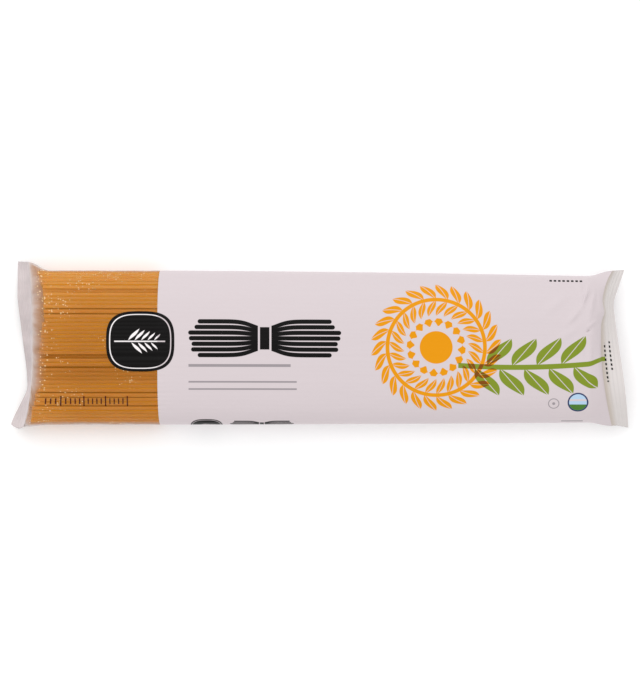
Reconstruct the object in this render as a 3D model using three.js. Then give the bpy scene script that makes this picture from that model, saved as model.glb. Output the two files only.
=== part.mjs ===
// A one-pound packet of long pasta: a film tube drawn tight round a bundle of straight strands, lying
// on its back seam. Both ends are pressed flat into crimped seals that droop and buckle, and the film
// near the left end is clear, so the strands there stand out as ridges.
//
// Millimetres, +Z up. X runs along the packet, Y across it, and the origin is the middle of the
// underside of the whole packet's box.

import * as THREE from "three";

// What the packet holds. The seed picks which strands lie a little deeper than their neighbours.
const strand = { diameter: 1.8, deepestGap: 0.5, unevenness: 0.28, seed: 16 };

// The filled body. It is a little slimmer and higher towards the right end.
const body = {
  height: 25,
  rise: 1.2,
  halfWidth: 35.9,
  narrowing: 1.85,
  middleY: -1.05,
  shift: -0.85,
  leftX: -125,
  rightX: 125,
  widestZ: 11.5,
  topPowers: [2.7, 2.3],
  undersidePower: 3.2,
  undersideSink: 1.8,
};

// The underside is slightly hollow. It rests at four places, this far from the middle, and rises again
// towards the ends.
const rest = { x: 106, y: 24, hollow: 0.4, endRise: 1 };

// Broad, shallow unevenness of the filled film. Each wave has a length along the packet, a lean that
// turns it off the straight across, and its share of the height.
const swell = {
  height: 0.3,
  waves: [
    { length: 107, lean: 5, share: 0.5 },
    { length: 258, lean: -9, share: 0.35 },
  ],
};

// The film is clear from the left end to where the print starts, and the strands' ridges fade in and
// out over a short way there. The stops are the shares of that length where the ridges have points.
const clearFilm = { toX: -75, fade: 2.5, stops: [0.35, 0.7] };

// The lengthwise seam on the underside, folded flat towards +Y. Its sides are a steep step, and its face
// is level.
const seam = { faceZ: 0.1, width: 11, foldY: -7, step: 0.08 };

// The end seals. A root is where the two films meet, and an edge is the seal's free end. Both are
// given as distances out from the packet's middle. The edge is a soft V with its point at the buckle,
// and past straightY it runs straight across. A high roundness makes the film fold over the strands'
// ends in a tight corner, a low one in a wide curve. The right root's crest lifts its middle above its
// corners.
const seal = { depth: 10, thickness: 0.7, rootZ: 11.5, lowestZ: 1.2 };
const leftEnd = {
  side: -1,
  shoulderX: 126.5,
  roundness: 4,
  root: {
    middle: 133.2,
    lowY: -37.8,
    highY: 38.8,
    lowFlare: 4.2,
    highFlare: 2.2,
    lowPower: 2.8,
    highPower: 2.8,
    crest: 0,
    dents: [],
  },
  edge: {
    lowY: -38.3,
    highY: 39.1,
    buckleY: -20.3,
    buckleOut: 136.4,
    straightY: 22,
    lowSlope: 0.505,
    highSlope: 0.115,
    round: 2,
  },
  wave: { height: 1.6, turns: 1.5, phase: 0.9 },
};
const rightEnd = {
  side: 1,
  shoulderX: 124,
  roundness: 1.7,
  root: {
    middle: 130.3,
    lowY: -37.4,
    highY: 34.6,
    lowFlare: 5.4,
    highFlare: 5.6,
    lowPower: 2,
    highPower: 4.5,
    crest: 8.5,
    dents: [{ y: 15.3, out: 1.3, reach: 3.2 }],
  },
  edge: {
    lowY: -38.4,
    highY: 35.2,
    buckleY: 20,
    buckleOut: 136.6,
    straightY: 35.2,
    lowSlope: 0.132,
    highSlope: 0.383,
    round: 2,
  },
  wave: { height: 1.8, turns: 1.4, phase: -0.4 },
};

// How finely the surface is cut into faces
const fineness = {
  facesPerStrand: 4,
  sectionSamples: 1440,
  bodyStations: 12,
  shoulderStations: 7,
  sealStations: 3,
  slopeStep: 0.002,
};

// The same numbers come out every time, for the strands' unevenness.
function seededRandom(seed) {
  let state = seed;
  return () => {
    state = (state * 1664525 + 1013904223) % 4294967296;
    return state / 4294967296;
  };
}

const mix = (a, b, t) => a + (b - a) * t;
const smooth = (t) => t * t * (3 - 2 * t);
const clamp01 = (t) => Math.min(1, Math.max(0, t));

// How far along the body x is, from 0 at the left end to 1 at the right
const along = (x) => clamp01((x - body.leftX) / (body.rightX - body.leftX));

// A V with a rounded point at t = 0 and straight sides
function softV(t, lowSlope, highSlope, round) {
  const rounded = Math.hypot(t, round) - round;
  return 0.5 * ((highSlope - lowSlope) * t + (highSlope + lowSlope) * rounded);
}

// How far the underside stands off the floor at a place
function hollowAt(x, y) {
  const lengthwise = Math.min(1, (x / rest.x) ** 2);
  const across = Math.min(1, (y / rest.y) ** 2);
  const pastRest = Math.max(0, Math.abs(x) / rest.x - 1);
  return rest.hollow * (1 - lengthwise * across) + rest.endRise * pastRest;
}

// The packet's outline across at one place: a flattened oval whose underside is cut nearly flat. It comes
// back as two halves, over the top from -Y to +Y and along the underside from -Y to +Y, each with its
// points evenly looked up by the share of its length.
function crossSection(x) {
  const share = along(x) ** 2;
  const halfWidth = body.halfWidth - body.narrowing * share;
  const middleY = body.middleY + body.shift * share;
  const topRise = body.height + body.rise * share - body.widestZ;
  const undersideDrop = body.widestZ + body.undersideSink;
  const half = (isTop) => {
    const points = [];
    const lengths = [0];
    for (let i = 0; i <= fineness.sectionSamples; i++) {
      const angle = Math.PI * (1 - i / fineness.sectionSamples);
      const c = Math.cos(angle);
      const s = Math.sin(angle);
      const [yPower, zPower] = isTop ? body.topPowers : [body.undersidePower, body.undersidePower];
      const y = middleY + halfWidth * Math.sign(c) * Math.abs(c) ** (2 / yPower);
      const reach = Math.abs(s) ** (2 / zPower);
      const floorZ = hollowAt(x, y - middleY);
      const z = isTop ? body.widestZ + topRise * reach : Math.max(floorZ, body.widestZ - undersideDrop * reach);
      points.push([y, z]);
    }
    for (let i = 1; i < points.length; i++) {
      const [y0, z0] = points[i - 1];
      const [y1, z1] = points[i];
      lengths.push(lengths[i - 1] + Math.hypot(y1 - y0, z1 - z0));
    }
    return { points, lengths, total: lengths[lengths.length - 1] };
  };
  return { top: half(true), underside: half(false) };
}

// The point at a share of a half's length, and the direction that faces out of the packet there
function lookUp(half, share, isTop) {
  const wanted = share * half.total;
  let low = 0;
  let high = half.lengths.length - 1;
  while (high - low > 1) {
    const middle = (low + high) >> 1;
    if (half.lengths[middle] <= wanted) low = middle;
    else high = middle;
  }
  const [y0, z0] = half.points[low];
  const [y1, z1] = half.points[high];
  const t = (wanted - half.lengths[low]) / (half.lengths[high] - half.lengths[low]);
  const run = Math.hypot(y1 - y0, z1 - z0);
  const turn = isTop ? 1 : -1;
  return {
    y: mix(y0, y1, t),
    z: mix(z0, z1, t),
    outY: (turn * -(z1 - z0)) / run,
    outZ: (turn * (y1 - y0)) / run,
  };
}

// Strands side by side round the packet, each a little deeper or shallower than the next
const middleSection = crossSection(clearFilm.toX);
const strandsPerHalf = Math.round(middleSection.top.total / strand.diameter);
const random = seededRandom(strand.seed);
const strandDepth = Array.from({ length: strandsPerHalf }, () => strand.unevenness * random());

// How deep the film sinks between the strands at a place over the top
function ridgeDepth(share) {
  const place = share * strandsPerHalf;
  const number = Math.min(strandsPerHalf - 1, Math.floor(place));
  const acrossStrand = 2 * (place - number) - 1;
  const radius = strand.diameter / 2;
  const fall = radius - Math.sqrt(Math.max(0, radius ** 2 - (radius * acrossStrand) ** 2));
  const fadeAtSides = smooth(clamp01(Math.min(share, 1 - share) * strandsPerHalf));
  return fadeAtSides * Math.min(strand.deepestGap, strandDepth[number] + fall);
}

// How far the swell lifts the upper side at a place, least at the packet's sides
function swellAt(x, share) {
  const lift = ({ length, lean, share: part }) => part * Math.sin((Math.PI * 2 * x) / length + lean * share);
  return swell.height * Math.sin(Math.PI * share) * swell.waves.reduce((sum, wave) => sum + lift(wave), 0);
}

// A point of the filled body. ridges is 1 where the film is clear and 0 under the print, and seamHeight
// is 1 along the body and falls to 0 at a shoulder's end.
function bodyPoint(x, section, column, ridges, seamHeight) {
  const { share, isTop, inSeam } = column;
  const p = lookUp(isTop ? section.top : section.underside, share, isTop);
  if (inSeam) return new THREE.Vector3(x, p.y, mix(p.z, seam.faceZ, seamHeight));
  const lift = isTop ? swellAt(x, share) - ridges * ridgeDepth(share) : 0;
  return new THREE.Vector3(x, p.y + p.outY * lift, p.z + p.outZ * lift);
}

// Where the two films meet at one end, for a share from 0 at -Y to 1 at +Y
function rootPoint(end, share) {
  const { root, wave } = end;
  const y = mix(root.lowY, root.highY, share);
  const towardsLow = clamp01(y / root.lowY) ** root.lowPower * root.lowFlare;
  const towardsHigh = clamp01(y / root.highY) ** root.highPower * root.highFlare;
  let out = root.middle + (y < 0 ? towardsLow : towardsHigh);
  for (const dent of root.dents) out += dent.out * Math.exp(-(((y - dent.y) / dent.reach) ** 2));
  const lift = root.crest * (1 - Math.abs(2 * share - 1) ** 3);
  const z = seal.rootZ + lift + wave.height * Math.sin(Math.PI * 2 * wave.turns * share + wave.phase);
  return new THREE.Vector3(end.side * out, y, z);
}

// The seal's free edge at the same share. It hangs as far below the root as the seal's depth leaves
// over, so the seal keeps its depth where it looks narrow from above.
function edgePoint(end, share) {
  const { edge } = end;
  const y = mix(edge.lowY, edge.highY, share);
  const fromBuckle = Math.min(y, edge.straightY) - edge.buckleY;
  const out = edge.buckleOut + softV(fromBuckle, edge.lowSlope, edge.highSlope, edge.round);
  const root = rootPoint(end, share);
  const level = Math.hypot(out - Math.abs(root.x), y - root.y);
  const drop = Math.sqrt(Math.max(0, seal.depth ** 2 - level ** 2));
  return new THREE.Vector3(end.side * out, y, Math.max(seal.lowestZ, root.z - drop));
}

// The middle of the seal's thickness, from 0 at the root to 1 at the edge
function sealMiddle(end, share, outward) {
  return rootPoint(end, share).lerp(edgePoint(end, share), outward);
}

// One face of the seal, half its thickness away from its middle
function sealPoint(end, column, outward) {
  const { share, isTop } = column;
  const before = sealMiddle(end, share - fineness.slopeStep, outward);
  const after = sealMiddle(end, share + fineness.slopeStep, outward);
  const outwards = edgePoint(end, share).sub(rootPoint(end, share));
  const normal = outwards.cross(after.sub(before)).multiplyScalar(end.side).normalize();
  const away = (isTop ? 0.5 : -0.5) * seal.thickness;
  return sealMiddle(end, share, outward).addScaledVector(normal, away);
}

// Between the body's last full section and the root the film closes over the strands' ends: it stays
// high, then falls steeply, while its sides spread to the seal's width.
function shoulderPoint(end, column, section, t) {
  const from = bodyPoint(end.side * end.shoulderX, section, column, 0, 1 - t);
  const to = sealPoint(end, column, 0);
  const outward = Math.sin((Math.PI / 2) * t);
  const fall = 1 - (1 - outward ** end.roundness) ** (1 / end.roundness);
  return new THREE.Vector3(
    mix(from.x, to.x, outward),
    mix(from.y, to.y, smooth(outward)),
    mix(from.z, to.z, t === 1 ? 1 : fall),
  );
}

// The share of the underside's length where it passes a place across the packet
function undersideShare(y) {
  const { points, lengths, total } = middleSection.underside;
  return lengths[points.findIndex((p) => p[0] >= y)] / total;
}

const evenShares = (count) => Array.from({ length: count + 1 }, (_, i) => i / count);

// A column is a line along the packet. Over the top the fine ones follow the strands' rounds and the
// coarse ones only the gaps between them. The underside has the seam's two edges and its flat.
function makeColumns(perStrand) {
  const top = evenShares(strandsPerHalf * perStrand).map((share) => ({ share, isTop: true, inSeam: false }));
  const low = undersideShare(seam.foldY);
  const high = undersideShare(seam.foldY + seam.width);
  const step = seam.step / middleSection.underside.total;
  const clearOfSeam = (s) => s > 0 && s < 1 && (s < low - step || s > high + step);
  const beside = evenShares(strandsPerHalf).filter(clearOfSeam);
  const edges = [low, high];
  const flat = [low + step, mix(low, high, 0.5), high - step];
  const underside = [
    ...[...beside, ...edges].map((share) => ({ share, isTop: false, inSeam: false })),
    ...flat.map((share) => ({ share, isTop: false, inSeam: true })),
  ];
  underside.sort((a, b) => b.share - a.share);
  return [...top, ...underside];
}

// The surface is rings of points, joined one to the next.
const positions = [];
const faces = [];

function addRing(columns, place) {
  return columns.map((column) => {
    const p = place(column);
    positions.push(p.x, p.y, p.z);
    const around = column.isTop ? column.share : 2 - column.share;
    return { around, index: positions.length / 3 - 1 };
  });
}

// Joins two rows of points with triangles, always stepping along the row that lags behind
function stitch(rowA, rowB) {
  let a = 0;
  let b = 0;
  while (a < rowA.length - 1 || b < rowB.length - 1) {
    const nextA = a < rowA.length - 1 ? rowA[a + 1].around : Infinity;
    const nextB = b < rowB.length - 1 ? rowB[b + 1].around : Infinity;
    if (nextA <= nextB) {
      faces.push(rowA[a].index, rowA[a + 1].index, rowB[b].index);
      a += 1;
    } else {
      faces.push(rowA[a].index, rowB[b + 1].index, rowB[b].index);
      b += 1;
    }
  }
}

const closed = (ring) => [...ring, { around: 2, index: ring[0].index }];
const joinRings = (left, right) => stitch(closed(right), closed(left));

// Closes the seal's free edge between its upper and its lower face
function closeEdge(ring, side) {
  const upper = ring.filter((p) => p.around <= 1);
  const lower = [ring[0], ...ring.filter((p) => p.around > 1).reverse(), upper[upper.length - 1]].map((p) => ({
    around: p.around > 1 ? 2 - p.around : p.around,
    index: p.index,
  }));
  if (side > 0) stitch(lower, upper);
  else stitch(upper, lower);
}

const fine = makeColumns(fineness.facesPerStrand);
const coarse = makeColumns(1);
const steps = (count) => Array.from({ length: count }, (_, i) => (i + 1) / count);

// Half of the packet's end, in order from the body outwards
function endRings(end) {
  const section = crossSection(end.side * end.shoulderX);
  const closing = steps(fineness.shoulderStations).map((t) =>
    addRing(coarse, (column) => shoulderPoint(end, column, section, t)),
  );
  const flat = steps(fineness.sealStations).map((t) => addRing(coarse, (column) => sealPoint(end, column, t)));
  return [...closing, ...flat];
}

function bodyRing(columns, x, ridges) {
  const section = crossSection(x);
  return addRing(columns, (column) => bodyPoint(x, section, column, ridges, 1));
}

const leftRings = endRings(leftEnd).reverse();
const clearFromX = -leftEnd.shoulderX;
const clearRings = [
  bodyRing(coarse, clearFromX, 0),
  bodyRing(fine, clearFromX + clearFilm.fade, 1),
  ...clearFilm.stops.map((stop) => bodyRing(fine, mix(clearFromX, clearFilm.toX, stop), 1)),
  bodyRing(fine, clearFilm.toX - clearFilm.fade, 1),
];
const printedRings = Array.from({ length: fineness.bodyStations }, (_, i) =>
  bodyRing(coarse, mix(clearFilm.toX, rightEnd.shoulderX, i / (fineness.bodyStations - 1)), 0),
);
const rings = [...leftRings, ...clearRings, ...printedRings, ...endRings(rightEnd)];
for (let i = 1; i < rings.length; i++) joinRings(rings[i - 1], rings[i]);
closeEdge(rings[0], -1);
closeEdge(rings[rings.length - 1], 1);

const geometry = new THREE.BufferGeometry();
geometry.setAttribute("position", new THREE.Float32BufferAttribute(positions, 3));
geometry.setIndex(faces);
geometry.computeBoundingBox();
const box = geometry.boundingBox;
geometry.translate(-(box.min.x + box.max.x) / 2, -(box.min.y + box.max.y) / 2, -box.min.z);
geometry.computeVertexNormals();

const filmFinish = new THREE.MeshStandardMaterial({ color: 0xdcd4d6, roughness: 0.35, metalness: 0 });

const packet = new THREE.Mesh(geometry, filmFinish);
packet.name = "pasta_packet";

const group = new THREE.Group();
group.add(packet);

export default group;
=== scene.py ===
from math import pi

import bpy
import numpy as np
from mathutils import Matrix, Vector


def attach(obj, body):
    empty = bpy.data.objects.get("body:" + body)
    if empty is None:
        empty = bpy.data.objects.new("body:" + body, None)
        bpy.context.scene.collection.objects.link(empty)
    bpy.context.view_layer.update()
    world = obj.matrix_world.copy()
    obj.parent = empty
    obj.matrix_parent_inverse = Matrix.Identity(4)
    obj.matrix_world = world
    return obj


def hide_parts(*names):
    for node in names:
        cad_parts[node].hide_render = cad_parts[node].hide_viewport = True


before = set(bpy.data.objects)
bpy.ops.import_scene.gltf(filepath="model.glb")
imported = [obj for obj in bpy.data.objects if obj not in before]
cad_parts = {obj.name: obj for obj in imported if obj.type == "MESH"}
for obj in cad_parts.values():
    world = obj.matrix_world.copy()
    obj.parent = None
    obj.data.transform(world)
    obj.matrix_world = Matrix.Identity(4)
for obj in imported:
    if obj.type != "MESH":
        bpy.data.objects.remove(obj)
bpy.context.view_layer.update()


def mix(a, b, t):
    return a + (b - a) * t


def smooth(t):
    t = np.clip(t, 0, 1)
    return t * t * (3 - 2 * t)


def unit(vectors):
    return vectors / np.maximum(np.linalg.norm(vectors, axis=-1, keepdims=True), 1e-9)


# The filled part of the packet: a flattened oval with a nearly flat underside, slimmer and higher to
# the right. The underside is slightly hollow and rises again past the places where it rests.
packet = {
    "toOrigin": (0.546, -0.39, 0.0),
    "height": 25.0,
    "rise": 1.2,
    "halfWidth": 35.9,
    "narrowing": 1.85,
    "middleY": -1.05,
    "shift": -0.85,
    "leftX": -125.0,
    "rightX": 125.0,
    "widestZ": 11.5,
    "topPowers": (2.7, 2.3),
    "undersidePower": 3.2,
    "undersideSink": 1.8,
    "rest": {"x": 106.0, "y": 24.0, "hollow": 0.4, "endRise": 1.0},
    "swell": {"height": 0.3, "waves": ((107.0, 5.0, 0.5), (258.0, -9.0, 0.35))},
    "printFromX": -75.0,
    "bow": 1.1,
    "bowReach": 14.0,
    "cornerToX": -112.0,
    "samples": 3001,
}


# The underside's height: hollow between the four places where it rests, and rising past them to the ends
def hollowAt(x, y):
    rest = packet["rest"]
    lengthwise = np.minimum(1, (x / rest["x"]) ** 2)
    across = np.minimum(1, (y / rest["y"]) ** 2)
    pastRest = np.maximum(0, np.abs(x) / rest["x"] - 1)
    return rest["hollow"] * (1 - lengthwise * across) + rest["endRise"] * pastRest


# How far along the packet x is, squared, and the half width and the middle, which both change with it
def widthAt(x):
    along = np.clip((x - packet["leftX"]) / (packet["rightX"] - packet["leftX"]), 0, 1) ** 2
    halfWidth = packet["halfWidth"] - packet["narrowing"] * along
    return along, halfWidth, packet["middleY"] + packet["shift"] * along


# The outline across at each x: half of a superellipse, over or under the widest height, looked up at each
# share of its length from -Y to +Y. It gives the place, the direction that faces out, and the length.
def outlineAt(x, shares, isTop):
    x = np.asarray(x, float)[:, None]
    along, halfWidth, middleY = widthAt(x)
    angle = np.linspace(pi, 0, packet["samples"])[None, :]
    yPower, zPower = packet["topPowers"] if isTop else (packet["undersidePower"],) * 2
    level = np.sign(np.cos(angle)) * np.abs(np.cos(angle)) ** (2 / yPower)
    reach = np.abs(np.sin(angle)) ** (2 / zPower)
    y = middleY + halfWidth * level
    if isTop:
        z = packet["widestZ"] + (packet["height"] + packet["rise"] * along - packet["widestZ"]) * reach
    else:
        z = packet["widestZ"] - (packet["widestZ"] + packet["undersideSink"]) * reach
        z = np.maximum(hollowAt(x, y - middleY), z)
    steps = np.hypot(np.diff(y), np.diff(z))
    lengths = np.concatenate([np.zeros((len(x), 1)), np.cumsum(steps, axis=1)], axis=1)
    totals = lengths[:, -1:]

    def lookUp(rows, at):
        return np.array([np.interp(at, reached, row) for reached, row in zip(lengths / totals, rows)])

    near = 0.002
    ahead, behind = np.clip(shares + near, 0, 1), np.clip(shares - near, 0, 1)
    turn = 1 if isTop else -1
    outY = -turn * (lookUp(z, ahead) - lookUp(z, behind))
    outZ = turn * (lookUp(y, ahead) - lookUp(y, behind))
    out = unit(np.stack([outY, outZ], axis=-1))
    return lookUp(y, shares), lookUp(z, shares), out, totals[:, 0]


# Long low waves in the top, highest in its middle
def swellAt(x, shares):
    swell = packet["swell"]
    lift = sum(part * np.sin(2 * pi * x[:, None] / length + lean * shares)
               for length, lean, part in swell["waves"])
    return swell["height"] * np.sin(pi * shares) * lift


# The strands. Gaps are extra room between two strands and sunk strands lie deeper, both given by their
# place across. Left ends and tones, from 0 for dark to 1 for light, are given at some places across too;
# the tones are painted light, lightest on the side towards the light at +Y and darkest a little below the
# middle.
strands = {
    "diameter": 1.8,
    "rightEnd": 122.0,
    "slack": 0.02,
    "leftEnds": ((-36.0, -134.4), (-30.0, -133.0), (-24.0, -131.6), (-13.0, -131.0), (-3.0, -129.9),
                 (5.0, -128.9), (12.0, -127.8), (20.0, -127.4), (26.0, -128.8), (34.0, -131.2)),
    "looseLeft": (-0.2, 1.0),
    "looseRight": (-0.5, 0.5),
    "tonesWithPaintedLight": ((-36.0, 0.68), (-28.0, 0.58), (-19.0, 0.45), (-13.0, 0.29), (-7.0, 0.37), (2.0, 0.38),
              (12.0, 0.51), (20.0, 0.72), (30.0, 0.97)),
    "toneSpread": (-0.06, 0.06),
    "underFilm": 0.1,
    "unevenness": 0.1,
    "gaps": {17.8: 0.5, 15.4: 0.5, -9.9: 0.7, -22.3: 0.5, -24.6: 0.3, -27.6: 0.5},
    "sunk": {24.6: 0.55, -4.6: 1.0, -10.8: 0.3, -12.6: 0.25, -15.5: 0.3},
    "filmTension": 4.8,
    "filmBridge": 0.5,
    # Where the painted light in the grooves begins beside a strand and over what width it rises
    "grooveLightFrom": 0.5,
    "grooveLightWidth": 0.4,
    "closedGap": 1.95,
    "closedSink": 0.2,
    "fullness": 5.0,
    "paintedDeepShade": {"amount": 0.8, "fromSink": 0.15, "forGap": 2.2, "mostForGap": 0.6},
    "nestled": 0.87,
    "tooClose": 0.97,
    "innerRoom": 1.01,
    "sides": 14,
    "innerSides": 8,
    "innerPitch": 1.86,
    "innerY": (-36.0, 36.0),
    "innerZ": (2.0, 26.0),
    "middleZ": 12.5,
    "stations": (0.0, 0.001, *np.linspace(0.03, 0.97, 26), 0.999, 1.0),
    "innerStations": (0.0, 0.001, 0.5, 0.999, 1.0),
    "bevel": 0.84,
    "seed": 5,
}
random = np.random.default_rng(strands["seed"])
clearX = np.array([-105.0])


# Where the strands of one half lie, as shares of its length, how far each is sunk, and that length
def layOut(isTop):
    dense = np.linspace(0, 1, 2001)
    y, z, out, totals = outlineAt(clearX, dense, isTop)
    inset = strands["diameter"] / 2 + strands["underFilm"]
    run = np.hypot(np.diff(y[0] - inset * out[0, :, 0]), np.diff(z[0] - inset * out[0, :, 1]))
    run = np.concatenate([[0], np.cumsum(run)])
    extraRoom = sum(strands["gaps"].values()) if isTop else 0
    count = int((run[-1] - extraRoom) / (strands["diameter"] + strands["slack"] / 2))
    room = strands["diameter"] + strands["slack"] * random.uniform(0, 1, count)
    sink = strands["unevenness"] * random.uniform(0, 1, count) ** 1.5
    middles, whole = np.cumsum(room) - room / 2, room.sum() + extraRoom
    if isTop:
        for atY, extra in sorted(strands["gaps"].items()):
            gapAt = np.interp(atY, y[0], run) * whole / run[-1]
            middles += extra * (middles > gapAt - extra / 2)
    middles *= run[-1] / whole
    if isTop:
        placeY = np.interp(middles, run, y[0])
        for atY, depth in strands["sunk"].items():
            sink[np.argmin(np.abs(placeY - atY))] = depth
    return np.interp(middles, run, dense), sink, totals[0]


laid = {isTop: layOut(isTop) for isTop in (True, False)}
topLength, underLength = laid[True][2], laid[False][2]
print("outer strands", sum(len(shares) for shares, _, _ in laid.values()),
      "lengths over and under", topLength, underLength)


# How far the film sags between the strands: it hangs from strand to strand in shallow curves
def drapeAt(shares, centres, sink, total):
    away = (shares[:, None] - centres[None, :]) * total
    hang = -sink[None, :] - away**2 / strands["filmTension"]
    return np.maximum(hang.max(axis=1), -strands["filmBridge"])


# Painted light in the groove between two strands that touch, a strand-coloured haze that lifts the shade
# there, from 0 on a strand to 1 in the groove
def grooveLightAt(shares, centres, sink, total):
    above = np.clip(np.searchsorted(centres, shares), 1, len(centres) - 1)
    apart = (centres[above] - centres[above - 1]) * total
    deepest = np.maximum(sink[above], sink[above - 1])
    away = np.abs(shares[:, None] - centres[None, :]).min(axis=1) * total
    isClosed = (apart < strands["closedGap"]) & (deepest < strands["closedSink"])
    return smooth((away - strands["grooveLightFrom"]) / strands["grooveLightWidth"]) * isClosed


# The two end seals. A root is where the films meet, an edge is the cut end of the film, both given as
# distances out from the middle. Sag bows the seal between them, and the ribs are the crimping.
seal = {"depth": 10.0, "thickness": 0.3, "rootZ": 11.5, "lowestZ": 1.2, "ribPitch": 2.0, "ribHeight": 0.16,
        "ribsFrom": 1.0, "ribsFade": 1.5, "cornerReach": 0.03}
leftEnd = {
    "side": -1,
    "shoulderX": 130.2,
    "standOff": 1.8,
    "flare": {"fromX": -125.5, "length": 10.0, "reach": 0.16},
    "roundness": 4.0,
    "sag": 0.5,
    "root": {"middle": 133.2, "lowY": -37.8, "highY": 38.8, "lowFlare": 4.2, "highFlare": 2.2,
             "lowPower": 2.8, "highPower": 2.8, "crest": 0.0},
    "dents": (),
    "edge": {"lowY": -38.3, "highY": 39.1, "buckleY": -20.3, "buckleOut": 136.4, "straightY": 22.0,
             "lowSlope": 0.505, "highSlope": 0.115, "round": 2.0, "curl": 1.3},
    "wave": {"height": 1.6, "turns": 1.5, "phase": 0.9},
}
rightEnd = {
    "side": 1,
    "shoulderX": 124.0,
    "roundness": 1.7,
    "sag": 0.8,
    "root": {"middle": 130.3, "lowY": -37.4, "highY": 34.6, "lowFlare": 5.4, "highFlare": 5.6,
             "lowPower": 2.0, "highPower": 4.5, "crest": 8.5},
    "dents": ((15.3, 1.3, 3.2),),
    "edge": {"lowY": -38.4, "highY": 35.2, "buckleY": 20.0, "buckleOut": 136.6, "straightY": 35.2,
             "lowSlope": 0.132, "highSlope": 0.383, "round": 2.0, "curl": 0.0},
    "wave": {"height": 1.8, "turns": 1.4, "phase": -0.4},
}


# A root runs across at one distance and flares outwards by a power of y at both corners, with a dent where
# told. Its height is an arch as high as its crest, with a wave along it.
def rootAt(end, shares):
    root, wave = end["root"], end["wave"]
    y = mix(root["lowY"], root["highY"], shares)
    towardsLow = np.clip(y / root["lowY"], 0, None) ** root["lowPower"] * root["lowFlare"]
    towardsHigh = np.clip(y / root["highY"], 0, None) ** root["highPower"] * root["highFlare"]
    out = root["middle"] + np.where(y < 0, towardsLow, towardsHigh)
    for dentY, dentOut, reach in end["dents"]:
        out = out + dentOut * np.exp(-(((y - dentY) / reach) ** 2))
    lift = root["crest"] * (1 - np.abs(2 * shares - 1) ** 3)
    z = seal["rootZ"] + lift + wave["height"] * np.sin(2 * pi * wave["turns"] * shares + wave["phase"])
    return np.stack([end["side"] * out, y, z], axis=-1)


# From 1 at the lower corner to 0 away from it, where that corner is curled in
def nearCorner(shares):
    return np.exp(-shares / seal["cornerReach"])


# An edge is two straight cuts that meet in a rounded buckle. The seal hangs as far below its root as its
# depth leaves over, so it looks narrow from above.
def edgeAt(end, shares):
    edge = end["edge"]
    y = mix(edge["lowY"], edge["highY"], shares)
    t = np.minimum(y, edge["straightY"]) - edge["buckleY"]
    rounded = np.hypot(t, edge["round"]) - edge["round"]
    low, high = edge["lowSlope"], edge["highSlope"]
    out = edge["buckleOut"] + 0.5 * ((high - low) * t + (high + low) * rounded)
    out = out - edge["curl"] * nearCorner(shares)
    y = y + edge["curl"] * nearCorner(shares)
    root = rootAt(end, shares)
    level = np.hypot(out - np.abs(root[:, 0]), y - root[:, 1])
    drop = np.sqrt(np.maximum(0, seal["depth"] ** 2 - level**2))
    return np.stack([end["side"] * out, y, np.maximum(seal["lowestZ"], root[:, 2] - drop)], axis=-1)


# How finely the film is cut. The underside has one column for each three of the upper side.
grid = {"perStrand": 6, "fewerBelow": 3, "clearRings": 26, "printRings": 44, "endFromX": 100.0,
        "endRings": 50, "shoulderRings": 20, "sealRings": 33}
coarseCount = round(topLength / strands["diameter"] * grid["perStrand"] / grid["fewerBelow"])
topColumns = np.linspace(0, 1, coarseCount * grid["fewerBelow"] + 1)
underColumns = np.linspace(0, 1, coarseCount + 1)[-2:0:-1]
bodyX = np.concatenate([
    np.linspace(-leftEnd["shoulderX"], packet["printFromX"], grid["clearRings"]),
    np.linspace(packet["printFromX"], grid["endFromX"], grid["printRings"])[1:],
    np.linspace(grid["endFromX"], rightEnd["shoulderX"], grid["endRings"])[1:],
])

# Creases and dents in the film near the right end: from, to, height and half width
creases = (
    ((124.8, 28.5), (121.2, 18.0), 1.4, 0.9),
    ((121.2, 18.0), (113.9, 9.2), 0.85, 1.4),
    ((127.4, 26.0), (124.6, 12.0), 0.9, 0.9),
    ((123.8, 7.2), (124.6, 6.4), -1.2, 1.0),
    ((123.8, 8.2), (127.8, 11.2), 0.8, 0.7),
    ((129.0, 26.0), (130.2, 15.3), 0.5, 0.8),
    ((129.4, 4.0), (129.0, -14.0), 0.4, 0.8),
    ((118.4, 3.0), (118.9, -5.5), 0.32, 0.8),
    ((121.2, 4.0), (121.4, -6.0), 0.36, 0.7),
    ((125.4, 2.0), (125.0, -9.0), 0.45, 0.8),
    ((126.0, -14.0), (124.0, -27.0), 0.4, 1.0),
    ((117.0, -27.0), (124.5, -32.0), 0.4, 1.1),
    ((103.0, 14.0), (116.0, 24.5), 0.45, 2.2),
    ((109.0, 1.0), (121.0, 10.0), 0.4, 1.9),
    ((117.5, 33.0), (122.0, 23.5), 0.6, 1.2),
    ((107.0, -21.0), (121.0, -10.0), 0.4, 2.0),
    ((128.0, -30.0), (134.5, -35.5), 0.5, 0.9),
    ((-126.5, 27.0), (-121.0, 30.5), 0.2, 0.9),
    ((-127.5, -33.0), (-118.0, -35.0), 0.2, 0.8),
)


# Each crease is a ridge with a bell-shaped section, which rises and falls along its line as a sine does
def creaseAt(x, y):
    lift = np.zeros_like(y)
    for (x0, y0), (x1, y1), height, width in creases:
        t = np.clip(((x - x0) * (x1 - x0) + (y - y0) * (y1 - y0)) / ((x1 - x0) ** 2 + (y1 - y0) ** 2), 0, 1)
        away = np.hypot(x - mix(x0, x1, t), y - mix(y0, y1, t))
        lift += height * np.sin(pi * np.clip(t, 0.08, 0.92)) * np.exp(-((away / width) ** 2))
    return lift


# How much of the drape shows: all in the clear film, little in the stiffer printed film and near the left
# seal, and none where the underside lies low
drape = {"printed": 0.12, "nearSeal": 0.15, "sealX": -124.0, "fade": 5.0, "lowZ": 2.0}


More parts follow.
